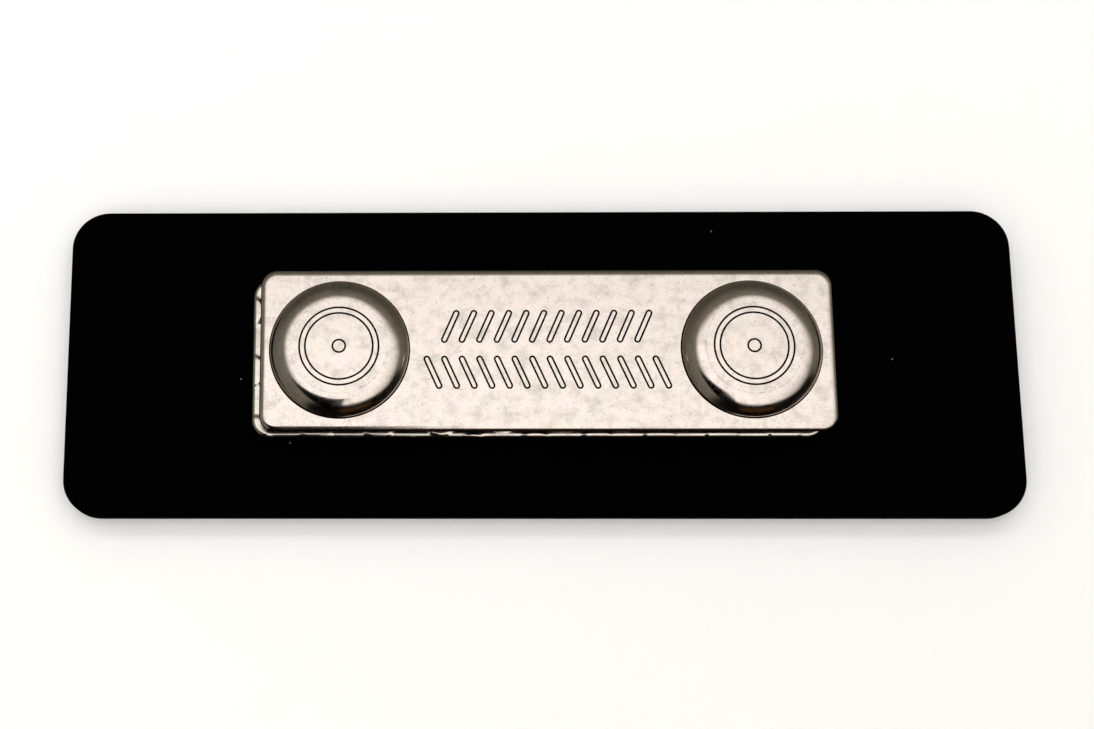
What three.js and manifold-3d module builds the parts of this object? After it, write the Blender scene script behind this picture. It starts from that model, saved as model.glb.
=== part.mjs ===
// Name badge with a magnetic fastener, lying on its front with its back up.
// A black plastic plate carries a steel strip on a mounting pad. A loose bar, a pressed steel
// housing with a disc magnet in each of its two cups, holds on to the strip, and the cloth of a
// garment goes between them when the badge is worn.
// Millimetres, +Z up, +X along the badge. The origin is the middle of the plate's front face.
import * as THREE from "three";
import { mergeVertices } from "three/addons/utils/BufferGeometryUtils.js";
import Module from "manifold-3d";

// Name plate
const plateLength = 76;
const plateWidth = 25;
const plateThickness = 1.6;
const plateCornerRadius = 3;
const plateEdgeBevel = 0.2;

// Mounting pad between the plate and the strip
const padThickness = 0.73;
const padInset = 0.2; // from the strip's edge to the pad's edge

// Outline that the steel strip and the housing of the magnet bar share, as they are made to match
const fastenerLength = 45.2;
const fastenerWidth = 13;

// Steel strip, embossed with round bumps that stand in rows across its corners
const stripCornerRadius = 1.5;
const stripSheet = 0.4;
const stripShift = { x: -0.41, y: 0.07 }; // where it was stuck, from the plate's middle
const bumpPitch = 3.46; // in a row, and from one row to the next
const bumpDiameter = 2.46; // half way up its slope
const bumpSlope = 0.45; // width of the slope all round
const bumpRise = 0.12;
const bumpTurnDegrees = 48.4; // a row's direction, as the strip was cut a little askew
const bumpStart = { x: 1.82, y: 0.33 }; // a bump near the strip's middle, from that middle

// Housing of the magnet bar, a blank of sheet whose upper rim the press has rolled over
const housingCornerRadius = 1.3;
const housingSheet = 0.5;
const housingRoll = { width: 0.55, depth: 0.2 };
const barShift = { x: 0.31, y: 0.32 }; // where the bar has snapped on, from the plate's middle
const barStandOff = 0.95; // the housing's underside stays this far above the magnets' lower faces

// Round cups in the housing, and the magnets in them
const cupEndDistance = 6.43; // from the housing's end to the middle of the cup
const cupShift = -0.15; // of both cups along the housing, as they were pressed off centre
const cupDiameter = 11.1;
const cupRise = 1.25; // from the housing's face to the cup's top
const cupShoulderRadius = 1.9;
const magnetSideGap = 1;
const magnetChamfer = 0.2;

// Stamped lines in the housing: slanted grip ribs on the face, and rings on the cups
const lineWidth = 0.15;
const lineDepth = 0.1;
const ribPitch = 1.38;
const ribLength = 2.9;
const ribWidth = 0.55;
const ribRows = [
  { y: 1.85, count: 12, slantDegrees: -24 },
  { y: -1.85, count: 14, slantDegrees: 24 },
];
const cupRings = [{ radius: 3.1 }, { radius: 2.65 }, { radius: 0.5 }];

// Clearances and smoothness
const seatGap = 0.05; // between two pieces that rest on each other
const overcut = 0.5; // how far a cutter runs past the face that it cuts
const cornerSegments = 6; // for each quarter turn of an outline
const bevelSegments = 2;
const roundSegments = 40; // round a cup or a magnet
const bumpSegments = 10; // round a bump
const shoulderSegments = 4;
const ribEndSegments = 3;

// Heights, from the plate's front face up
const padBottom = plateThickness + seatGap;
const stripBottom = padBottom + padThickness + seatGap;
const stripTop = stripBottom + bumpRise + stripSheet;
const magnetBottom = stripTop + seatGap;
const housingBottom = magnetBottom + barStandOff;

// Sizes inside the bar, from its middle and from the housing's underside up
const cupSpan = fastenerLength - 2 * cupEndDistance;
const cupPlaces = [cupShift - cupSpan / 2, cupShift + cupSpan / 2];
const cupTop = housingSheet + cupRise;
const cupFootTurn = Math.asin(Math.max(0, 1 - cupRise / cupShoulderRadius));
const cupFlatRadius = cupDiameter / 2 - cupShoulderRadius * Math.cos(cupFootTurn);
const cupInnerShoulder = cupShoulderRadius - housingSheet;
const cupInnerRadius = cupFlatRadius + cupInnerShoulder;
const magnetThickness = cupRise - seatGap + barStandOff;

const wasm = await Module();
wasm.setup();

// A closed geometry as a solid that can be joined and cut.
function solidOf(geometry) {
  const bare = geometry.clone();
  bare.deleteAttribute("normal");
  bare.deleteAttribute("uv");
  const merged = mergeVertices(bare);
  const mesh = new wasm.Mesh({
    numProp: 3,
    vertProperties: merged.attributes.position.array,
    triVerts: new Uint32Array(merged.index.array),
  });
  return new wasm.Manifold(mesh);
}

// A solid as a geometry again, with flat faces.
function geometryOf(solid) {
  const mesh = solid.getMesh();
  const geometry = new THREE.BufferGeometry();
  geometry.setAttribute("position", new THREE.BufferAttribute(mesh.vertProperties, 3));
  geometry.setIndex(new THREE.BufferAttribute(mesh.triVerts, 1));
  const flat = geometry.toNonIndexed();
  flat.computeVertexNormals();
  return flat;
}

function roundedRectangle(length, width, radius) {
  const x = length / 2 - radius;
  const y = width / 2 - radius;
  const quarter = Math.PI / 2;
  const shape = new THREE.Shape();
  shape.absarc(x, y, radius, 0, quarter);
  shape.absarc(-x, y, radius, quarter, 2 * quarter);
  shape.absarc(-x, -y, radius, 2 * quarter, 3 * quarter);
  shape.absarc(x, -y, radius, 3 * quarter, 4 * quarter);
  shape.closePath();
  return shape;
}

// A slab of an outline, from height bottom to height top.
function slab(shape, bottom, top, curveSegments = cornerSegments) {
  const options = { depth: top - bottom, bevelEnabled: false, curveSegments };
  return new THREE.ExtrudeGeometry(shape, options).translate(0, 0, bottom);
}

// The same with both rims rounded, inside the outline and the two heights.
function roundedSlab(shape, bottom, top, { width, depth }) {
  const options = {
    depth: top - bottom - 2 * depth,
    bevelThickness: depth,
    bevelSize: width,
    bevelOffset: -width,
    bevelSegments,
    curveSegments: cornerSegments,
  };
  return new THREE.ExtrudeGeometry(shape, options).translate(0, 0, bottom + depth);
}

// A solid of revolution about Z, from a profile of [radius, height] pairs that goes up.
function turned(profile, segments = roundSegments) {
  const points = profile.map(([radius, height]) => new THREE.Vector2(radius, height));
  return new THREE.LatheGeometry(points, segments).rotateX(Math.PI / 2);
}

// A cup's form: a straight wall, a round shoulder from the foot's turn on, and a flat top.
function cupForm(bottom, top, shoulder, footTurn) {
  const profile = [[0, bottom], [cupFlatRadius + shoulder * Math.cos(footTurn), bottom]];
  for (let i = 0; i <= shoulderSegments; i++) {
    const turn = footTurn + (i / shoulderSegments) * (Math.PI / 2 - footTurn);
    const radius = cupFlatRadius + shoulder * Math.cos(turn);
    profile.push([radius, top - shoulder * (1 - Math.sin(turn))]);
  }
  profile.push([0, top]);
  return turned(profile);
}

// A rib's outline: a bar along Y with round ends.
function ribOutline(length, width, make = new THREE.Shape()) {
  const end = (length - width) / 2;
  make.absarc(0, end, width / 2, 0, Math.PI);
  make.absarc(0, -end, width / 2, Math.PI, 2 * Math.PI);
  make.closePath();
  return make;
}

// The cutter for one stamped rib: a narrow line that follows the rib's outline.
function ribCutter(height) {
  const ring = ribOutline(ribLength, ribWidth);
  ring.holes.push(ribOutline(ribLength - 2 * lineWidth, ribWidth - 2 * lineWidth, new THREE.Path()));
  return slab(ring, height - lineDepth, height + overcut, ribEndSegments);
}

// The cutter for one stamped ring, whose line is centred on the radius.
function ringCutter(radius, height) {
  const inner = radius - lineWidth / 2;
  const outer = radius + lineWidth / 2;
  const bottom = height - lineDepth;
  const top = height + overcut;
  return turned([[inner, bottom], [outer, bottom], [outer, top], [inner, top], [inner, bottom]]);
}

// Middles of the bumps that reach the strip, from the strip's middle.
function bumpPlaces(footRadius) {
  const turn = THREE.MathUtils.degToRad(bumpTurnDegrees);
  const last = Math.ceil(Math.hypot(fastenerLength, fastenerWidth) / 2 / bumpPitch) + 1;
  const places = [];
  for (let i = -last; i <= last; i++) {
    for (let j = -last; j <= last; j++) {
      const x = bumpStart.x + bumpPitch * (i * Math.cos(turn) - j * Math.sin(turn));
      const y = bumpStart.y + bumpPitch * (i * Math.sin(turn) + j * Math.cos(turn));
      const beyondX = Math.abs(x) - fastenerLength / 2;
      const beyondY = Math.abs(y) - fastenerWidth / 2;
      if (Math.max(beyondX, beyondY) < footRadius) places.push([x, y]);
    }
  }
  return places;
}

function namePlate() {
  const outline = roundedRectangle(plateLength, plateWidth, plateCornerRadius);
  const rim = { width: plateEdgeBevel, depth: plateEdgeBevel };
  return roundedSlab(outline, 0, plateThickness, rim);
}

function adhesivePad() {
  const radius = Math.max(stripCornerRadius - padInset, padInset);
  const length = fastenerLength - 2 * padInset;
  const width = fastenerWidth - 2 * padInset;
  return slab(roundedRectangle(length, width, radius), 0, padThickness);
}

// The strip, with its underside at height 0. Each bump is hollow from below.
function steelStrip() {
  const outline = roundedRectangle(fastenerLength, fastenerWidth, stripCornerRadius);
  const foot = (bumpDiameter + bumpSlope) / 2;
  const crown = (bumpDiameter - bumpSlope) / 2;
  const slope = (base, height) => turned(
    [[0, base], [foot, base], [foot, height], [crown, height + bumpRise], [0, height + bumpRise]],
    bumpSegments,
  );
  let body = solidOf(slab(outline, 0, stripSheet));
  for (const [x, y] of bumpPlaces(foot)) {
    body = body.add(solidOf(slope(0, stripSheet).translate(x, y, 0)));
    body = body.subtract(solidOf(slope(-overcut, 0).translate(x, y, 0)));
  }
  const reach = bumpRise + stripSheet + overcut;
  return geometryOf(body.intersect(solidOf(slab(outline, -overcut, reach))));
}

// The housing, with its underside at height 0. Only its upper rim is rolled over, so the slab is
// made deeper and its lower rim is cut off.
function housing() {
  const outline = roundedRectangle(fastenerLength, fastenerWidth, housingCornerRadius);
  const below = -2 * housingRoll.depth;
  let body = solidOf(roundedSlab(outline, below, housingSheet, housingRoll));
  for (const x of cupPlaces) {
    const cup = cupForm(0, cupTop, cupShoulderRadius, cupFootTurn);
    body = body.add(solidOf(cup.translate(x, 0, 0)));
  }
  const beyond = 2 * overcut;
  const lowerRim = roundedRectangle(fastenerLength + beyond, fastenerWidth + beyond, overcut);
  body = body.subtract(solidOf(slab(lowerRim, below - overcut, 0)));
  for (const x of cupPlaces) {
    const hollow = cupForm(-overcut, cupRise, cupInnerShoulder, 0);
    body = body.subtract(solidOf(hollow.translate(x, 0, 0)));
    for (const { radius } of cupRings) {
      body = body.subtract(solidOf(ringCutter(radius, cupTop).translate(x, 0, 0)));
    }
  }
  for (const { y, count, slantDegrees } of ribRows) {
    for (let i = 0; i < count; i++) {
      const x = (i - (count - 1) / 2) * ribPitch;
      const cutter = ribCutter(housingSheet).rotateZ(THREE.MathUtils.degToRad(slantDegrees));
      body = body.subtract(solidOf(cutter.translate(x, y, 0)));
    }
  }
  return geometryOf(body);
}

// A disc magnet, with its lower face at height 0. Its top rim clears the cup's inner shoulder.
function magnet() {
  const radius = cupInnerRadius - magnetSideGap;
  const topChamfer = Math.max(magnetChamfer, cupInnerShoulder - magnetSideGap);
  return turned([
    [0, 0],
    [radius - magnetChamfer, 0],
    [radius, magnetChamfer],
    [radius, magnetThickness - topChamfer],
    [radius - topChamfer, magnetThickness],
    [0, magnetThickness],
  ]);
}

function piece(name, geometry, material, x, y, z) {
  const mesh = new THREE.Mesh(geometry, material);
  mesh.name = name;
  mesh.position.set(x, y, z);
  return mesh;
}

const blackPlastic = new THREE.MeshStandardMaterial({ color: "#08080a", roughness: 0.5 });
const foamTape = new THREE.MeshStandardMaterial({ color: "#4a443d", roughness: 0.9 });
const nickelSteel = new THREE.MeshStandardMaterial({
  color: "#d8cfc4",
  roughness: 0.18,
  metalness: 1,
});
const platedMagnet = new THREE.MeshStandardMaterial({
  color: "#c4c2be",
  roughness: 0.12,
  metalness: 1,
});

const badge = new THREE.Group();
badge.add(piece("name_plate", namePlate(), blackPlastic, 0, 0, 0));
badge.add(piece("adhesive_pad", adhesivePad(), foamTape, stripShift.x, stripShift.y, padBottom));
badge.add(piece("steel_strip", steelStrip(), nickelSteel, stripShift.x, stripShift.y, stripBottom));

const magnetBar = new THREE.Group();
magnetBar.position.set(barShift.x, barShift.y, housingBottom);
magnetBar.add(piece("housing", housing(), nickelSteel, 0, 0, 0));
magnetBar.add(piece("magnet_left", magnet(), platedMagnet, cupPlaces[0], 0, -barStandOff));
magnetBar.add(piece("magnet_right", magnet(), platedMagnet, cupPlaces[1], 0, -barStandOff));

const nameBadge = new THREE.Group();
nameBadge.add(badge, magnetBar);

export default nameBadge;
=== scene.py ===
import math

import bmesh
import bpy
from mathutils import Matrix, Vector
from mathutils.geometry import delaunay_2d_cdt


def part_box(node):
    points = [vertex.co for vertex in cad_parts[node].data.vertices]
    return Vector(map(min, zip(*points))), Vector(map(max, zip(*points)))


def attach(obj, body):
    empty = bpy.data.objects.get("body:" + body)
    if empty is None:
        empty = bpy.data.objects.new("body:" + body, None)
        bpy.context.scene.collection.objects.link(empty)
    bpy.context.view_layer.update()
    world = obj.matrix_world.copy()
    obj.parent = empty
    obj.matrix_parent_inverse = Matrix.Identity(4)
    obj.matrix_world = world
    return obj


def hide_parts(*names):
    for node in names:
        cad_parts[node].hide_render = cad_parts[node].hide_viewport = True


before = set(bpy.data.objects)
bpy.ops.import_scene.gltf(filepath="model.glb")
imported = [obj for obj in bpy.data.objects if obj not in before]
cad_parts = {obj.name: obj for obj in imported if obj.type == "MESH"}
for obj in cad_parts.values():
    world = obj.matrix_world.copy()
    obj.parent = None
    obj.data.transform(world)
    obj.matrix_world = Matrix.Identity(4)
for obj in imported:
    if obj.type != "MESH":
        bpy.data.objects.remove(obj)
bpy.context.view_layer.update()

scene = bpy.context.scene
scene.view_settings.view_transform = "Standard"
scene.view_settings.look = "None"

# Camera. The badge lies on its front and is looked at from its near long side, a little left of
# its middle and 13 degrees off the vertical. The photograph was cut to size, so its middle isn't
# the lens's middle, and the small shift allows for that.
camera_data = bpy.data.cameras.new("camera")
camera_data.sensor_width = 36
camera_data.lens = 59.84
camera_data.shift_x = 0.1463
camera_data.clip_start = 0.01
camera_data.clip_end = 10
camera = bpy.data.objects.new("camera", camera_data)
camera.location = (-0.00982, -0.03229, 0.1437)
camera.rotation_euler = [math.radians(turn) for turn in (12.704, 0.975, 0.145)]
scene.collection.objects.link(camera)
scene.camera = camera


# Stage. A pale seamless table with a wall that curves up far behind the badge. Polished metal
# doesn't mirror it, because the real badge's flanks mirror the dark room and not the table.
def add_node(tree, kind, inputs=None, **settings):
    """Adds a node with its settings. Each input is a value, or the output that is linked to it."""
    node = tree.nodes.new(kind)
    for name, value in settings.items():
        setattr(node, name, value)
    for key, value in (inputs or {}).items():
        if isinstance(value, bpy.types.NodeSocket):
            tree.links.new(value, node.inputs[key])
        else:
            node.inputs[key].default_value = value
    return node


def linear(hex_colour):
    """The linear colour of an sRGB hex value."""
    channels = [int(hex_colour[i:i + 2], 16) / 255 for i in (1, 3, 5)]
    low = [c / 12.92 for c in channels]
    high = [((c + 0.055) / 1.055) ** 2.4 for c in channels]
    return [b if c > 0.04045 else a for c, a, b in zip(channels, low, high)] + [1]


def blank_material(name):
    """A new material without nodes apart from its output, and its node tree."""
    material = bpy.data.materials.new(name)
    material.use_nodes = True
    material.node_tree.nodes.clear()
    return material, material.node_tree


def lathe(bm, profile, centre, steps):
    """A surface turned about the vertical at the centre, from (radius, height) pairs that go
    up and inwards. Returns its rings."""
    rings = []
    for radius, height in profile:
        turns = [2 * math.pi * i / steps for i in range(steps)]
        if radius < 1e-9:
            rings.append([bm.verts.new((centre[0], centre[1], height))])
        else:
            rings.append([
                bm.verts.new((
                    centre[0] + radius * math.cos(turn),
                    centre[1] + radius * math.sin(turn),
                    height,
                ))
                for turn in turns
            ])
    for lower, upper in zip(rings, rings[1:]):
        for i in range(steps):
            j = (i + 1) % steps
            quad = [lower[i % len(lower)], lower[j % len(lower)]]
            quad += [upper[j % len(upper)], upper[i % len(upper)]]
            bm.faces.new(list(dict.fromkeys(quad)))
    return rings


def mesh_object(name, bm, material, scale=0.001):
    """The finished piece, from a mesh in millimetres, with creases only at real corners."""
    bmesh.ops.remove_doubles(bm, verts=bm.verts, dist=1e-5)
    bmesh.ops.recalc_face_normals(bm, faces=bm.faces)
    mesh = bpy.data.meshes.new(name)
    bm.to_mesh(mesh)
    bm.free()
    mesh.transform(Matrix.Scale(scale, 4))
    mesh.shade_smooth()
    mesh.set_sharp_from_angle(angle=math.radians(42))
    mesh.materials.append(material)
    piece = bpy.data.objects.new(name, mesh)
    scene.collection.objects.link(piece)
    return piece


table_radius = 1.1
table_drop = 0.00002
wall_height = 1.2
cove_radius = 0.3
table_paper, tree = blank_material("matt white paper")
shader = add_node(tree, "ShaderNodeBsdfDiffuse", {"Color": linear("#f6f5f3")})
add_node(tree, "ShaderNodeOutputMaterial", {"Surface": shader.outputs[0]})
bm = bmesh.new()
profile = [(0, -table_drop), (table_radius, -table_drop)]
for i in range(1, 13):
    turn = math.pi / 2 * i / 12
    profile.append((
        table_radius + cove_radius * math.sin(turn), cove_radius * (1 - math.cos(turn))
    ))
profile.append((table_radius + cove_radius, wall_height))
lathe(bm, profile, (0, 0), 64)
table = mesh_object("table", bm, table_paper, scale=1)
table.data.flip_normals()
table.visible_glossy = False


# Light. One large soft panel overhead is what the flat metal mirrors. It fades out on all sides,
# and the black body of a camera hides its near left part. The room is dim, olive grey on the far
# side and near black on the near side, with a warm brown surface low down. A fill light brightens
# the table alone.
room_grey = (0.21, 0.195, 0.165, 1)
side_grey = (0.15, 0.143, 0.122, 1)
far_grey = (0.074, 0.071, 0.056, 1)
near_black = (0.004, 0.003, 0.002, 1)
warm_brown = (0.05, 0.021, 0.006, 1)
panel_radiance = 1.3


def soft_panel(name, low, high, height, radiance, fades):
    """A sheet of light over the table. Each of its four sides fades out over its own width, in
    the order low X, high X, low Y, high Y."""
    material, tree = blank_material(name + " cloth")
    place = add_node(tree, "ShaderNodeTexCoord").outputs["Object"]
    axes = add_node(tree, "ShaderNodeSeparateXYZ", {0: place}).outputs
    share = None
    sides = [
        (axes[0], low[0], low[0] + fades[0]), (axes[0], high[0], high[0] - fades[1]),
        (axes[1], low[1], low[1] + fades[2]), (axes[1], high[1], high[1] - fades[3]),
    ]
    for axis, dark_end, bright_end in sides:
        ramp = add_node(
            tree, "ShaderNodeMapRange",
            {0: axis, 1: min(dark_end, bright_end), 2: max(dark_end, bright_end),
             3: float(dark_end > bright_end), 4: float(dark_end < bright_end)},
            interpolation_type="SMOOTHSTEP",
        ).outputs[0]
        if share is None:
            share = ramp
        else:
            share = add_node(
                tree, "ShaderNodeMath", {0: share, 1: ramp}, operation="MULTIPLY"
            ).outputs[0]
    glow = add_node(
        tree, "ShaderNodeMix", {0: share, 6: room_grey, 7: (radiance, radiance, radiance, 1)},
        data_type="RGBA",
    )
    shader = add_node(tree, "ShaderNodeEmission", {"Color": glow.outputs[2]})
    add_node(tree, "ShaderNodeOutputMaterial", {"Surface": shader.outputs[0]})
    return card(name, [
        (low[0], low[1], height), (low[0], high[1], height),
        (high[0], high[1], height), (high[0], low[1], height),
    ], material)


def card(name, corners, material):
    """A flat sheet of the studio, which the metal mirrors and the camera doesn't see."""
    mesh = bpy.data.meshes.new(name)
    mesh.from_pydata(corners, [], [(0, 1, 2, 3)])
    mesh.materials.append(material)
    sheet = bpy.data.objects.new(name, mesh)
    scene.collection.objects.link(sheet)
    sheet.visible_camera = False
    return sheet


soft_panel(
    "overhead panel", low=(-0.36, -0.5), high=(0.89, 0.29), height=0.4,
    radiance=panel_radiance, fades=(0.24, 0.94, 0.18, 0.22),
)

black_body, tree = blank_material("black camera body")
shader = add_node(tree, "ShaderNodeEmission", {"Strength": 0.0})
add_node(tree, "ShaderNodeOutputMaterial", {"Surface": shader.outputs[0]})
body = card("camera body", [
    (-0.14, -0.5, 0.15), (-0.011, -0.5, 0.15), (-0.011, -0.048, 0.15), (-0.14, -0.03, 0.15),
], black_body)
body.visible_diffuse = False

warm_card, tree = blank_material("warm brown wall")
shader = add_node(tree, "ShaderNodeEmission", {"Color": warm_brown})
add_node(tree, "ShaderNodeOutputMaterial", {"Surface": shader.outputs[0]})
card("warm wall", [
    (-0.02, -0.3, 0.03), (0.19, -0.3, 0.03), (0.19, -0.3, 0.14), (-0.02, -0.3, 0.14),
], warm_card)

fill_data = bpy.data.lights.new("table fill", "AREA")
fill_data.size = 2
fill_data.energy = 34
fill = bpy.data.objects.new("table fill", fill_data)
fill.location = (0, 0, 0.9)
fill.visible_camera = False
fill.visible_glossy = False
scene.collection.objects.link(fill)

world = bpy.data.worlds.new("dim room")
world.use_nodes = True
tree = world.node_tree
tree.nodes.clear()
direction = add_node(tree, "ShaderNodeTexCoord").outputs["Generated"]
axes = add_node(tree, "ShaderNodeSeparateXYZ", {0: direction}).outputs
towards_viewer = add_node(
    tree, "ShaderNodeVectorMath", {0: direction, 1: (0.358, -0.934, 0)}, operation="DOT_PRODUCT"
)
near_side = add_node(
    tree, "ShaderNodeMapRange", {0: towards_viewer.outputs["Value"], 1: 0.4, 2: 0.6},
    interpolation_type="SMOOTHSTEP",
)
far_side = add_node(tree, "ShaderNodeMapRange", {0: axes["Y"], 1: 0.2, 2: 0.8})
upward = add_node(tree, "ShaderNodeMapRange", {0: axes["Z"], 1: 0.2, 2: 0.9})
walls_grey = add_node(
    tree, "ShaderNodeMix",
    {0: far_side.outputs[0], 6: side_grey, 7: far_grey},
    data_type="RGBA",
)
lit = add_node(
    tree, "ShaderNodeMix", {0: upward.outputs[0], 6: walls_grey.outputs[2], 7: room_grey},
    data_type="RGBA",
)
room = add_node(
    tree, "ShaderNodeMix",
    {0: near_side.outputs[0], 6: lit.outputs[2], 7: near_black},
    data_type="RGBA",
)
background = add_node(tree, "ShaderNodeBackground", {"Color": room.outputs[2]})
add_node(tree, "ShaderNodeOutputWorld", {"Surface": background.outputs[0]})
scene.world = world


# Name plate. A sheet of black engraving laminate, sawn to size with its corners rounded, and its
# edges lightly broken. Its satin back is up here, with a little dust on it.
def rounded_outline(length, width, radius, corner_steps, side_spacing=None):
    """Points of a rounded rectangle with their outward directions, counter-clockwise. With a
    spacing, its straight sides have points as well."""
    points = []
    for quarter, (side_x, side_y) in enumerate([(1, 1), (-1, 1), (-1, -1), (1, -1)]):
        middle = Vector((side_x * (length / 2 - radius), side_y * (width / 2 - radius)))
        for i in range(corner_steps + 1):
            turn = (quarter + i / corner_steps) * math.pi / 2
            outward = Vector((math.cos(turn), math.sin(turn)))
            points.append((middle + radius * outward, outward))
        if side_spacing:
            run = (width if quarter % 2 else length) - 2 * radius
            stops = round(run / side_spacing)
            along = Vector((-outward.y, outward.x))
            start = middle + radius * outward
            points += [
                (start + along * (run * k / stops), outward) for k in range(1, stops)
            ]
    return points


def walls(bm, outline, centre, profile):
    """Walls that follow an outline, from (inset, height) pairs that go up. Returns the rings."""
    rings = [
        [bm.verts.new((*(point - inset * outward + centre), height)) for point, outward in outline]
        for inset, height in profile
    ]
    for lower, upper in zip(rings, rings[1:]):
        for i in range(len(lower)):
            j = (i + 1) % len(lower)
            bm.faces.new((lower[i], lower[j], upper[j], upper[i]))
    return rings


def rolled(width, depth, steps):
    """A quarter ellipse from the wall to the flat face, as (inset, drop below the face) pairs."""
    turns = [math.pi / 2 * i / steps for i in range(steps + 1)]
    return [(width * (1 - math.cos(t)), depth * (1 - math.sin(t))) for t in turns]


def box_in_mm(node):
    """Middle, size and heights of a frame node, in millimetres."""
    low, high = [corner * 1000 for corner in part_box(node)]
    return ((low + high) / 2).xy, (high - low).xy, low.z, high.z


plate_corner = 3
plate_edge = 0.2
flat_band = 0.05

plate_laminate, tree = blank_material("black engraving laminate, satin back")
# Two-layer acrylic, rolled satin: it gives a deep black with hardly any shine. Its grain is
# 0.06 mm. A dust speck is 0.15 mm, and there are half a dozen.
place = add_node(tree, "ShaderNodeTexCoord").outputs["Object"]
grain = add_node(tree, "ShaderNodeTexNoise", {"Vector": place, "Scale": 16000, "Detail": 2})
rubbed = add_node(
    tree, "ShaderNodeTexNoise", {"Vector": place, "Scale": 160, "Detail": 4, "Roughness": 0.6}
)
roughness = add_node(
    tree, "ShaderNodeMapRange", {0: rubbed.outputs["Fac"], 1: 0.3, 2: 0.7, 3: 0.5, 4: 0.62}
)
speck = add_node(
    tree, "ShaderNodeTexVoronoi", {"Vector": place, "Scale": 500}, voronoi_dimensions="2D"
)
speck_size = add_node(
    tree, "ShaderNodeMapRange", {0: speck.outputs["Distance"], 1: 0.025, 2: 0.04, 3: 1, 4: 0}
)
speck_chance = add_node(tree, "ShaderNodeSeparateColor", {0: speck.outputs["Color"]})
chosen = add_node(
    tree, "ShaderNodeMath", {0: speck_chance.outputs[0], 1: 0.985}, operation="GREATER_THAN"
)
dust = add_node(
    tree, "ShaderNodeMath", {0: speck_size.outputs[0], 1: chosen.outputs[0]}, operation="MULTIPLY"
)
colour = add_node(
    tree, "ShaderNodeMix",
    {0: dust.outputs[0], 6: linear("#010102"), 7: linear("#6a6864")}, data_type="RGBA",
)
bump = add_node(
    tree, "ShaderNodeBump", {"Height": grain.outputs["Fac"], "Strength": 0.4, "Distance": 2e-6}
)
shader = add_node(
    tree, "ShaderNodeBsdfPrincipled",
    {
        "Base Color": colour.outputs[2], "Roughness": roughness.outputs[0],
        "Normal": bump.outputs[0], "Specular IOR Level": 0.006,
    },
)
add_node(tree, "ShaderNodeOutputMaterial", {"Surface": shader.outputs[0]})

middle, size, bottom, top = box_in_mm("name_plate")
edge = rolled(plate_edge, plate_edge, 6)
profile = [(plate_edge + flat_band, bottom)]
profile += [(inset, bottom + drop) for inset, drop in reversed(edge)]
profile += [(inset, top - drop) for inset, drop in edge]
profile.append((plate_edge + flat_band, top))
bm = bmesh.new()
rings = walls(bm, rounded_outline(*size, plate_corner, corner_steps=16), middle, profile)
bm.faces.new(rings[0][::-1])
bm.faces.new(rings[-1])
plate = mesh_object("plate", bm, plate_laminate)
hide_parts("name_plate")
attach(plate, "badge")


# Mounting tape. Dark acrylic foam, die cut a little smaller than the strip, sticky on both faces.
# Its sides are pulled in a little between the two faces that hold it.
tape_corner = 1.3
side_pull = 0.06
tape_steps = 8

foam, tree = blank_material("dark acrylic foam tape, cut edge")
# Closed foam cells of 0.15 mm, cut open along the sides: a dull, pitted dark grey, with painted
# shade darkening the middle of each pit.
place = add_node(tree, "ShaderNodeTexCoord").outputs["Object"]
cells = add_node(tree, "ShaderNodeTexVoronoi", {"Vector": place, "Scale": 6500})
painted_pit_shade = add_node(
    tree, "ShaderNodeMix",
    {0: cells.outputs["Distance"], 6: linear("#24211e"), 7: linear("#4a443d")}, data_type="RGBA",
)
bump = add_node(
    tree, "ShaderNodeBump", {"Height": cells.outputs["Distance"], "Distance": 6e-5}
)
shader = add_node(
    tree, "ShaderNodeBsdfPrincipled",
    {
        "Base Color": painted_pit_shade.outputs[2], "Roughness": 0.9, "Normal": bump.outputs[0],
        "Specular IOR Level": 0.2,
    },
)
add_node(tree, "ShaderNodeOutputMaterial", {"Surface": shader.outputs[0]})

middle, size, bottom, top = box_in_mm("adhesive_pad")
profile = []
for i in range(tape_steps + 1):
    share = i / tape_steps
    pull = side_pull * math.sin(math.pi * share)
    profile.append((pull, bottom + share * (top - bottom)))
bm = bmesh.new()
rings = walls(bm, rounded_outline(*size, tape_corner, corner_steps=12), middle, profile)
bm.faces.new(rings[0][::-1])
bm.faces.new(rings[-1])
tape = mesh_object("mounting_tape", bm, foam)
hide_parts("adhesive_pad")
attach(tape, "badge")


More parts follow.
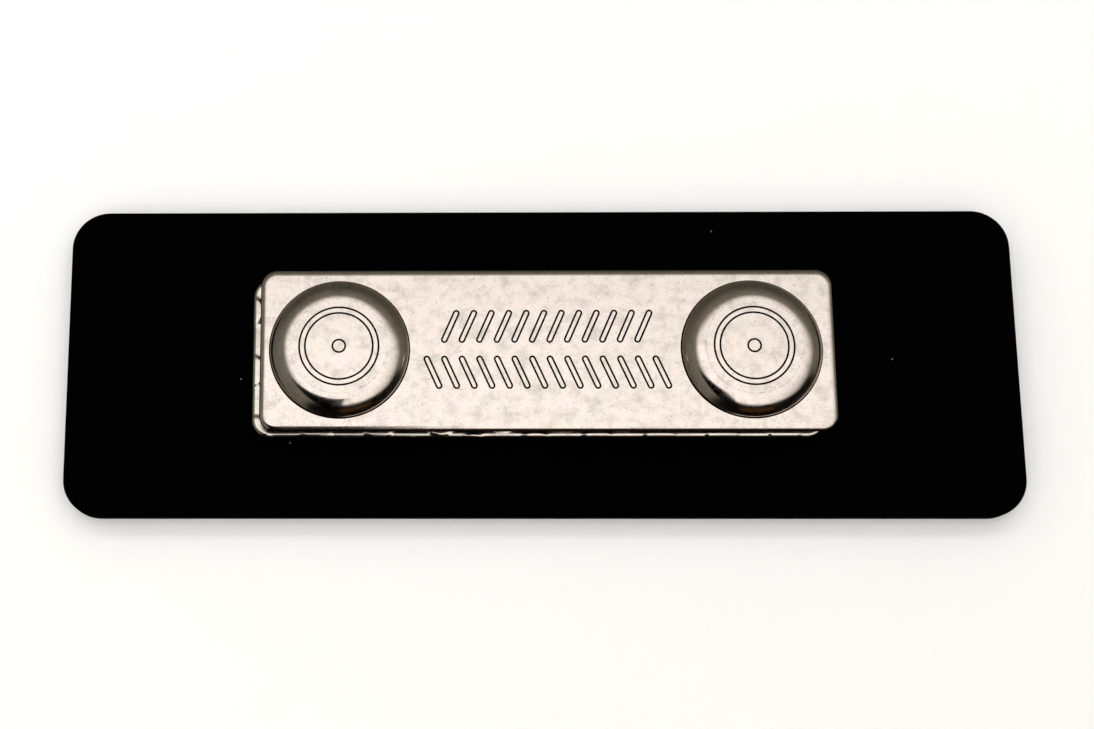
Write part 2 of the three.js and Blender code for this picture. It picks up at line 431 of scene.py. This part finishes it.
# Steel strip. Steel sheet embossed with round bumps in slanting rows, and blanked by a die that
# draws its upper rim down. It is nickel plated and stuck to the tape.
def nickel_plating(name, colours, specks, haze, waviness):
    """Nickel on rolled steel: warm bright metal that mirrors the room a little softly. It has
    stains of about 2.4 mm between the first two colours. The third colour is that of its dull
    patches of 1 mm, its mottling of 0.15 mm and its pits of 0.1 mm. Stamped lines and the rim's
    cut wall get painted shade, near black and rougher."""
    material, tree = blank_material(name)
    place = add_node(tree, "ShaderNodeTexCoord").outputs["Object"]
    stain = add_node(
        tree, "ShaderNodeTexNoise", {"Vector": place, "Scale": 420, "Detail": 3, "Roughness": 0.6}
    )
    stain_share = add_node(
        tree, "ShaderNodeMapRange", {0: stain.outputs["Fac"], 1: 0.35, 2: 0.65}
    )
    tint = add_node(
        tree, "ShaderNodeMix",
        {0: stain_share.outputs[0], 6: linear(colours[0]), 7: linear(colours[1])},
        data_type="RGBA",
    )
    # Painted shade: a vertex value darkens stamped lines by their depth, and the cut wall of the
    # rim.
    stamped = add_node(tree, "ShaderNodeAttribute", attribute_name="recess_shade")
    recess_shade = add_node(
        tree, "ShaderNodeMapRange", {0: stamped.outputs["Fac"], 1: 0.1, 2: 0.6}
    ).outputs[0]
    mottle = add_node(
        tree, "ShaderNodeTexNoise",
        {"Vector": place, "Scale": 7000, "Detail": 3, "Roughness": 0.7},
    )
    mottle_share = add_node(
        tree, "ShaderNodeMapRange", {0: mottle.outputs["Fac"], 1: 0.56, 2: 0.78, 3: 0, 4: specks}
    )
    pits = add_node(tree, "ShaderNodeTexVoronoi", {"Vector": place, "Scale": 1700})
    pit_size = add_node(
        tree, "ShaderNodeMapRange", {0: pits.outputs["Distance"], 1: 0.05, 2: 0.12, 3: 0.8, 4: 0}
    )
    pit_chance = add_node(tree, "ShaderNodeSeparateColor", {0: pits.outputs["Color"]})
    pit_chosen = add_node(
        tree, "ShaderNodeMath", {0: pit_chance.outputs[0], 1: 0.72}, operation="GREATER_THAN"
    )
    pitted = add_node(
        tree, "ShaderNodeMath", {0: pit_size.outputs[0], 1: pit_chosen.outputs[0]},
        operation="MULTIPLY",
    )
    dark = add_node(
        tree, "ShaderNodeMath", {0: mottle_share.outputs[0], 1: pitted.outputs[0]},
        operation="MAXIMUM",
    )
    dull = add_node(
        tree, "ShaderNodeTexNoise", {"Vector": place, "Scale": 900, "Detail": 5, "Roughness": 0.7}
    )
    dull_share = add_node(
        tree, "ShaderNodeMapRange", {0: dull.outputs["Fac"], 1: 0.46, 2: 0.7, 3: 0, 4: 0.3}
    )
    clouded = add_node(
        tree, "ShaderNodeMix",
        {0: dull_share.outputs[0], 6: tint.outputs[2], 7: linear(colours[2])}, data_type="RGBA",
    )
    speckled = add_node(
        tree, "ShaderNodeMix",
        {0: dark.outputs[0], 6: clouded.outputs[2], 7: linear(colours[2])}, data_type="RGBA",
    )
    # Painted shade mixed in here: near black where the recess shade value is high.
    colour = add_node(
        tree, "ShaderNodeMix",
        {0: recess_shade, 6: speckled.outputs[2], 7: linear("#0c0a08")}, data_type="RGBA",
    )
    satin = add_node(
        tree, "ShaderNodeMapRange",
        {0: dull.outputs["Fac"], 1: 0.3, 2: 0.75, 3: haze, 4: haze + 0.12},
    )
    roughness = add_node(
        tree, "ShaderNodeMath", {0: recess_shade, 1: 0.4, 2: satin.outputs[0]},
        operation="MULTIPLY_ADD",
    )
    peel = add_node(
        tree, "ShaderNodeTexNoise", {"Vector": place, "Scale": 2600, "Detail": 2}
    )
    bump = add_node(
        tree, "ShaderNodeBump",
        {"Height": peel.outputs["Fac"], "Strength": 1.0, "Distance": waviness},
    )
    shader = add_node(
        tree, "ShaderNodeBsdfPrincipled",
        {
            "Base Color": colour.outputs[2], "Metallic": 1.0,
            "Roughness": roughness.outputs[0], "Normal": bump.outputs[0],
        },
    )
    add_node(tree, "ShaderNodeOutputMaterial", {"Surface": shader.outputs[0]})
    return material


def flat_fill(bm, loops, height, grid=()):
    """Triangles over the flat region inside the first loop of vertices and outside the others,
    which are convex."""
    held, owner, borders = [], {}, []
    for number, loop in enumerate(loops):
        first = len(held)
        borders += [(first + i, first + (i + 1) % len(loop)) for i in range(len(loop))]
        owner.update((vertex, number) for vertex in loop)
        held += loop
    points = [vertex.co.xy for vertex in held] + [Vector(point) for point in grid]
    made = delaunay_2d_cdt(points, borders, [], 1, 1e-7)
    corners = []
    for point, origins in zip(made[0], made[3]):
        known = [k for k in origins if k < len(held)]
        corners.append(held[known[0]] if known else bm.verts.new((*point, height)))
    for face in made[2]:
        triangle = [corners[k] for k in face]
        owners = {owner.get(vertex, -1) for vertex in triangle}
        if len(owners) > 1 or owners <= {0, -1}:
            bm.faces.new(triangle)


strip_corner = 1.5
strip_sheet = 0.4
strip_roll = (0.33, 0.3)
bump_pitch = 3.46
bump_diameter = 2.46
bump_slope = 0.3
bump_dome = 0.04
bump_turn = math.radians(48.4)
bump_start = Vector((1.82, 0.33))
strip_spacing = 0.15
burr = 0.03

strip_nickel = nickel_plating(
    "nickel plating on embossed steel strip", ("#e4dacf", "#e0dace", "#6a6058"), 0.3, 0.13, 6e-7
)
middle, size, bottom, top = box_in_mm("steel_strip")
bump_rise = top - bottom - strip_sheet

bm = bmesh.new()
rim_width = strip_roll[0] + flat_band
profile = [(rim_width, bottom), (burr, bottom), (0, bottom + burr)]
profile += [(i, bottom + strip_sheet - d) for i, d in rolled(*strip_roll, 8)]
profile.append((rim_width, bottom + strip_sheet))
outline = rounded_outline(*size, strip_corner, corner_steps=14, side_spacing=strip_spacing)
rings = walls(bm, outline, middle, profile)
grid_inset = rim_width + strip_spacing / 2
reach = Vector(size) / 2 - Vector((1, 1)) * grid_inset
inner = strip_corner - grid_inset
grid = []
for i in range(int(2 * reach.x / strip_spacing) + 1):
    for j in range(int(2 * reach.y / strip_spacing) + 1):
        x = -reach.x + i * strip_spacing
        y = -reach.y + j * strip_spacing
        over = Vector((max(0, abs(x) - reach.x + inner), max(0, abs(y) - reach.y + inner)))
        if over.length < inner:
            grid.append((x + middle.x, y + middle.y))
flat_fill(bm, [rings[0]], bottom, grid)
flat_fill(bm, [rings[-1]], bottom + strip_sheet, grid)
strip = mesh_object("embossed_strip", bm, strip_nickel)

emboss = bpy.data.node_groups.new("embossed bumps", "GeometryNodeTree")
interface = emboss.interface
interface.new_socket("Sheet", in_out="INPUT", socket_type="NodeSocketGeometry")
for name in ("Pitch", "Turn", "Start X", "Start Y", "Foot", "Crown", "Rise", "Dome"):
    interface.new_socket(name, in_out="INPUT", socket_type="NodeSocketFloat")
interface.new_socket("Material", in_out="INPUT", socket_type="NodeSocketMaterial")
interface.new_socket("Sheet", in_out="OUTPUT", socket_type="NodeSocketGeometry")
given = add_node(emboss, "NodeGroupInput").outputs
position = add_node(emboss, "GeometryNodeInputPosition").outputs[0]
start = add_node(emboss, "ShaderNodeCombineXYZ", {0: given["Start X"], 1: given["Start Y"]})
offset = add_node(
    emboss, "ShaderNodeVectorMath", {0: position, 1: start.outputs[0]}, operation="SUBTRACT"
)
turn_back = add_node(emboss, "ShaderNodeMath", {0: given["Turn"], 1: -1.0}, operation="MULTIPLY")
turned = add_node(
    emboss, "ShaderNodeVectorRotate",
    {"Vector": offset.outputs[0], "Angle": turn_back.outputs[0]}, rotation_type="Z_AXIS",
)
sheet_axes = add_node(emboss, "ShaderNodeSeparateXYZ", {0: turned.outputs[0]}).outputs
half = add_node(emboss, "ShaderNodeMath", {0: given["Pitch"], 1: 0.5}, operation="MULTIPLY")
less = add_node(emboss, "ShaderNodeMath", {0: given["Pitch"], 1: -0.5}, operation="MULTIPLY")
nearest = [
    add_node(
        emboss, "ShaderNodeMath", {0: sheet_axes[axis], 1: half.outputs[0], 2: less.outputs[0]},
        operation="WRAP",
    ).outputs[0]
    for axis in ("X", "Y")
]
from_bump = add_node(emboss, "ShaderNodeCombineXYZ", {0: nearest[0], 1: nearest[1]})
distance = add_node(
    emboss, "ShaderNodeVectorMath", {0: from_bump.outputs[0]}, operation="LENGTH"
).outputs["Value"]
raised = add_node(
    emboss, "ShaderNodeMapRange",
    {0: distance, 1: given["Crown"], 2: given["Foot"], 3: 1.0, 4: 0.0},
    interpolation_type="SMOOTHSTEP",
)
outward = add_node(emboss, "ShaderNodeMath", {0: distance, 1: given["Foot"]}, operation="DIVIDE")
fall = add_node(
    emboss, "ShaderNodeMath", {0: outward.outputs[0], 1: outward.outputs[0]}, operation="MULTIPLY"
)
sunk = add_node(emboss, "ShaderNodeMath", {0: fall.outputs[0], 1: 1.0}, operation="MINIMUM")
drop = add_node(
    emboss, "ShaderNodeMath", {0: sunk.outputs[0], 1: given["Dome"]}, operation="MULTIPLY"
)
crown = add_node(
    emboss, "ShaderNodeMath", {0: given["Rise"], 1: drop.outputs[0]}, operation="SUBTRACT"
)
height = add_node(
    emboss, "ShaderNodeMath", {0: raised.outputs[0], 1: crown.outputs[0]}, operation="MULTIPLY"
)
lift = add_node(emboss, "ShaderNodeCombineXYZ", {2: height.outputs[0]})
moved = add_node(
    emboss, "GeometryNodeSetPosition", {"Geometry": given["Sheet"], "Offset": lift.outputs[0]}
)
real = add_node(emboss, "GeometryNodeRealizeInstances", {0: moved.outputs[0]})
painted = add_node(
    emboss, "GeometryNodeSetMaterial", {"Geometry": real.outputs[0], "Material": given["Material"]}
)
add_node(emboss, "NodeGroupOutput", {0: painted.outputs[0]})


def through_nodes(piece, tree, values):
    """Runs a piece through a geometry tree with its named inputs set, and keeps the result."""
    modifier = piece.modifiers.new(tree.name, "NODES")
    modifier.node_group = tree
    for item in tree.interface.items_tree:
        if item.in_out == "INPUT" and item.name in values:
            modifier[item.identifier] = values[item.name]
    evaluated = piece.evaluated_get(bpy.context.evaluated_depsgraph_get())
    plain = bpy.data.meshes.new_from_object(evaluated)
    piece.modifiers.clear()
    piece.data = plain
    return plain


start = (middle + bump_start) / 1000
through_nodes(strip, emboss, {
    "Pitch": bump_pitch / 1000, "Turn": bump_turn, "Start X": start.x, "Start Y": start.y,
    "Foot": (bump_diameter + bump_slope) / 2000, "Crown": (bump_diameter - bump_slope) / 2000,
    "Rise": bump_rise / 1000, "Dome": bump_dome / 1000, "Material": strip_nickel,
})
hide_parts("steel_strip")
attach(strip, "badge")


# Housing of the magnet bar. A blank of thin steel, with two round cups drawn up in it for the
# magnets, slanted grip ribs and rings stamped in as fine outlines, and its rim rolled over by the
# press. It is nickel plated after pressing.
housing_corner = 1.3
housing_sheet = 0.5
housing_roll = (0.55, 0.33)
cup_end_distance = 6.43
cup_shift = -0.15
cup_radius = 5.55
cup_rise = 1.25
cup_shoulder = 1.9
cup_crown = 0.02
groove_width = 0.1
groove_depth = 0.06
line_width = 0.15
line_depth = 0.1
line_lip = 0.03
line_squareness = 0.7
shade_spread = 1.6
rib_pitch = 1.38
rib_length = 2.9
rib_width = 0.55
rib_row = 1.85
rib_counts = (12, 14)
rib_slant = math.radians(24)
cup_rings = (3.1, 2.65, 0.5)
cup_steps = 144
ring_bands = (2.2, 1.7, 1.2, 0.85)
plateau_bands = (3.8, 3.5)
hub_radius = 0.2
mouth_band = 0.02
groove_steps = 6
shoulder_steps = 24
hollow_lip = 0.05
lower_edge = 0.05

housing_nickel = nickel_plating(
    "nickel plating on pressed steel", ("#ebdcd3", "#e6dcd0", "#5f564e"), 0.55, 0.1, 5e-7
)
bar_middle, size, bottom, cup_top = box_in_mm("housing")
face = bottom + housing_sheet
cup_flat = cup_radius - cup_shoulder * math.cos(math.asin(1 - cup_rise / cup_shoulder))


def darken(bm, rings, drops):
    """Marks rings by how deep they lie in a stamped line, for painted shade that is darker the
    deeper they lie.
    """
    layer = bm.verts.layers.float.get("recess_shade") or bm.verts.layers.float.new("recess_shade")
    for ring, drop in zip(rings, drops):
        for vertex in ring:
            # Painted shade, stronger with depth.
            vertex[layer] = min(1, shade_spread * drop / line_depth)


def line_section(middle_offset):
    """One stamped line in section, from its outer lip to its inner lip, as (offset, drop)."""
    half = line_width / 2
    section = [(half + 2 * line_lip, 0), (half + line_lip, 0)]
    for i in range(9):
        turn = math.pi * i / 8
        drop = line_depth * math.sin(turn) ** line_squareness
        section.append((half * math.cos(turn), drop))
    section += [(-half - line_lip, 0), (-half - 2 * line_lip, 0)]
    return [(middle_offset + offset, drop) for offset, drop in section]


def rib_loop(half_width, half_length, steps=8):
    """A rib's outline along Y, with round ends, counter-clockwise."""
    straight = half_length - half_width
    points = []
    for end in (1, -1):
        for i in range(steps + 1):
            turn = math.pi * i / steps + (0 if end > 0 else math.pi)
            points.append((
                half_width * math.cos(turn), end * straight + half_width * math.sin(turn)
            ))
    return points


bm = bmesh.new()
bm.verts.layers.float.new("recess_shade")
rib_middle = rib_width / 2 - line_width / 2
rings = []
for offset, drop in line_section(rib_middle):
    loop = rib_loop(offset, offset + (rib_length - rib_width) / 2)
    rings.append([bm.verts.new((x, y, -drop)) for x, y in loop])
for outer, inner in zip(rings, rings[1:]):
    for i in range(len(outer)):
        j = (i + 1) % len(outer)
        bm.faces.new((outer[i], outer[j], inner[j], inner[i]))
bm.faces.new(rings[-1])
# Painted shade in the stamped rib outlines, by depth.
darken(bm, rings, [drop for _, drop in line_section(rib_middle)])
ribs = mesh_object("grip_ribs", bm, housing_nickel)

stamp = bpy.data.node_groups.new("rows of stamped ribs", "GeometryNodeTree")
interface = stamp.interface
interface.new_socket("Rib", in_out="INPUT", socket_type="NodeSocketGeometry")
for name in ("Pitch", "Slant", "Row Distance", "Middle X", "Middle Y", "Face Height"):
    interface.new_socket(name, in_out="INPUT", socket_type="NodeSocketFloat")
for name in ("Upper Count", "Lower Count"):
    interface.new_socket(name, in_out="INPUT", socket_type="NodeSocketInt")
interface.new_socket("Material", in_out="INPUT", socket_type="NodeSocketMaterial")
interface.new_socket("Ribs", in_out="OUTPUT", socket_type="NodeSocketGeometry")
given = add_node(stamp, "NodeGroupInput").outputs
rows = []
for side, count_name in ((1.0, "Upper Count"), (-1.0, "Lower Count")):
    gaps = add_node(stamp, "ShaderNodeMath", {0: given[count_name], 1: 1.0}, operation="SUBTRACT")
    run = add_node(
        stamp, "ShaderNodeMath", {0: gaps.outputs[0], 1: given["Pitch"]}, operation="MULTIPLY"
    )
    start = add_node(
        stamp, "ShaderNodeMath", {0: run.outputs[0], 1: -0.5, 2: given["Middle X"]},
        operation="MULTIPLY_ADD",
    )
    row_y = add_node(
        stamp, "ShaderNodeMath",
        {0: given["Row Distance"], 1: side * 0.5, 2: given["Middle Y"]}, operation="MULTIPLY_ADD",
    )
    slant = add_node(
        stamp, "ShaderNodeMath", {0: given["Slant"], 1: -side}, operation="MULTIPLY"
    )
    first = add_node(
        stamp, "ShaderNodeCombineXYZ",
        {0: start.outputs[0], 1: row_y.outputs[0], 2: given["Face Height"]},
    )
    step = add_node(stamp, "ShaderNodeCombineXYZ", {0: given["Pitch"]})
    line = add_node(
        stamp, "GeometryNodeMeshLine",
        {
            "Count": given[count_name], "Start Location": first.outputs[0],
            "Offset": step.outputs[0],
        },
        mode="OFFSET",
    )
    turned = add_node(stamp, "ShaderNodeCombineXYZ", {2: slant.outputs[0]})
    row = add_node(
        stamp, "GeometryNodeInstanceOnPoints",
        {
            "Points": line.outputs[0], "Instance": given["Rib"], "Rotation": turned.outputs[0],
        },
    )
    rows.append(row.outputs[0])
both = add_node(stamp, "GeometryNodeJoinGeometry")
for row in rows:
    stamp.links.new(row, both.inputs[0])
real = add_node(stamp, "GeometryNodeRealizeInstances", {0: both.outputs[0]})
painted = add_node(
    stamp, "GeometryNodeSetMaterial", {"Geometry": real.outputs[0], "Material": given["Material"]}
)
add_node(stamp, "NodeGroupOutput", {0: painted.outputs[0]})
stamped = through_nodes(ribs, stamp, {
    "Pitch": rib_pitch / 1000, "Slant": rib_slant, "Row Distance": 2 * rib_row / 1000,
    "Middle X": bar_middle.x / 1000, "Middle Y": bar_middle.y / 1000,
    "Face Height": face / 1000, "Upper Count": rib_counts[0], "Lower Count": rib_counts[1],
    "Material": housing_nickel,
})
stamped.transform(Matrix.Scale(1000, 4))

bm = bmesh.new()
bm.from_mesh(stamped)
rib_edges = [edge for edge in bm.edges if edge.is_boundary]
openings = []
while rib_edges:
    start = rib_edges[0]
    loop = [start.verts[0], start.verts[1]]
    used = {start}
    while True:
        following = [e for e in loop[-1].link_edges if e.is_boundary and e not in used]
        if not following:
            break
        used.add(following[0])
        nearest = following[0].other_vert(loop[-1])
        if nearest is loop[0]:
            break
        loop.append(nearest)
    openings.append(loop)
    rib_edges = [edge for edge in rib_edges if edge not in used]

outline = rounded_outline(*size, housing_corner, corner_steps=24)
profile = [(2 * lower_edge, bottom)]
profile += [(i, bottom + d) for i, d in reversed(rolled(lower_edge, lower_edge, 3))]
profile += [(i, face - d) for i, d in rolled(*housing_roll, 16)]
profile.append((housing_roll[0] + flat_band, face))
rim = walls(bm, outline, bar_middle, profile)
# Painted shade: the rim's cut wall is darkened as though it lay half as deep as a stamped line.
cut_wall = rim[1:6]
darken(bm, cut_wall, [line_depth / 2] * len(cut_wall))

cup_section = [(cup_radius + mouth_band, face)]
for i in range(groove_steps + 1):
    turn = math.pi * i / groove_steps
    cup_section.append((
        cup_radius - groove_width / 2 * (1 - math.cos(turn)), face - groove_depth * math.sin(turn)
    ))
shoulder_height = cup_top - cup_crown - cup_shoulder
foot = math.acos((cup_radius - groove_width - cup_flat) / cup_shoulder)
for i in range(shoulder_steps + 1):
    turn = foot + (math.pi / 2 - foot) * i / shoulder_steps
    cup_section.append((
        cup_flat + cup_shoulder * math.cos(turn), shoulder_height + cup_shoulder * math.sin(turn)
    ))
section = []
for radius in cup_rings:
    section += line_section(radius)
    if radius == cup_rings[1]:
        section += [(band, 0) for band in ring_bands]
section += [(hub_radius, 0), (0, 0)]
cup_drops = [0] + [line_depth] * (groove_steps + 1) + [0] * (shoulder_steps + 1)
for radius, drop in [(band, 0) for band in plateau_bands] + section:
    swell = cup_crown * (1 - (radius / cup_flat) ** 2)
    cup_section.append((radius, cup_top - cup_crown + swell - drop))
    cup_drops.append(drop)

hollow_shoulder = cup_shoulder - housing_sheet
hollow_top = cup_top - housing_sheet - cup_crown
hollow_radius = cup_flat + hollow_shoulder
hollow_section = [(hollow_radius + 2 * hollow_lip, bottom), (hollow_radius + hollow_lip, bottom)]
hollow_section.append((hollow_radius, bottom + hollow_lip))
for i in range(13):
    turn = math.pi / 2 * i / 12
    hollow_section.append((
        cup_flat + hollow_shoulder * math.cos(turn),
        hollow_top - hollow_shoulder * (1 - math.sin(turn)),
    ))
hollow_section += [(2, hollow_top), (0, hollow_top)]

cup_loops, hollow_loops = [], []
for side in (-1, 1):
    centre = bar_middle + Vector((cup_shift + side * (size.x / 2 - cup_end_distance), 0))
    rings = lathe(bm, cup_section, centre, cup_steps)
    # Painted shade in the cup's foot groove and stamped rings, by depth.
    darken(bm, rings, cup_drops)
    cup_loops.append(rings[0])
    hollow_loops.append(lathe(bm, hollow_section, centre, cup_steps)[0])
flat_fill(bm, [rim[-1]] + cup_loops + openings, face)
flat_fill(bm, [rim[0]] + hollow_loops, bottom)
bpy.data.objects.remove(ribs)
housing = mesh_object("magnet_bar_housing", bm, housing_nickel)
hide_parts("housing")
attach(housing, "magnet_bar")


# Magnets. Two sintered neodymium discs, tumbled so that their rims are rounded, plated with
# bright nickel and glued into the cups.
magnet_rim = 0.2
magnet_shoulder = 0.4

magnet_nickel = nickel_plating(
    "bright nickel on sintered magnet", ("#d6d4d0", "#d2d0cb", "#6f6c68"), 0.15, 0.2, 6e-7
)
for side in ("left", "right"):
    middle, size, bottom, top = box_in_mm("magnet_" + side)
    radius = size.x / 2
    profile = [(0, bottom), (radius - magnet_rim - flat_band, bottom)]
    for inset, drop in reversed(rolled(magnet_rim, magnet_rim, 5)):
        profile.append((radius - inset, bottom + drop))
    for inset, drop in rolled(magnet_shoulder, magnet_shoulder, 7):
        profile.append((radius - inset, top - drop))
    profile += [(radius - magnet_shoulder - flat_band, top), (0, top)]
    bm = bmesh.new()
    lathe(bm, profile, middle, 96)
    disc = mesh_object("disc_magnet_" + side, bm, magnet_nickel)
    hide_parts("magnet_" + side)
    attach(disc, "magnet_bar")
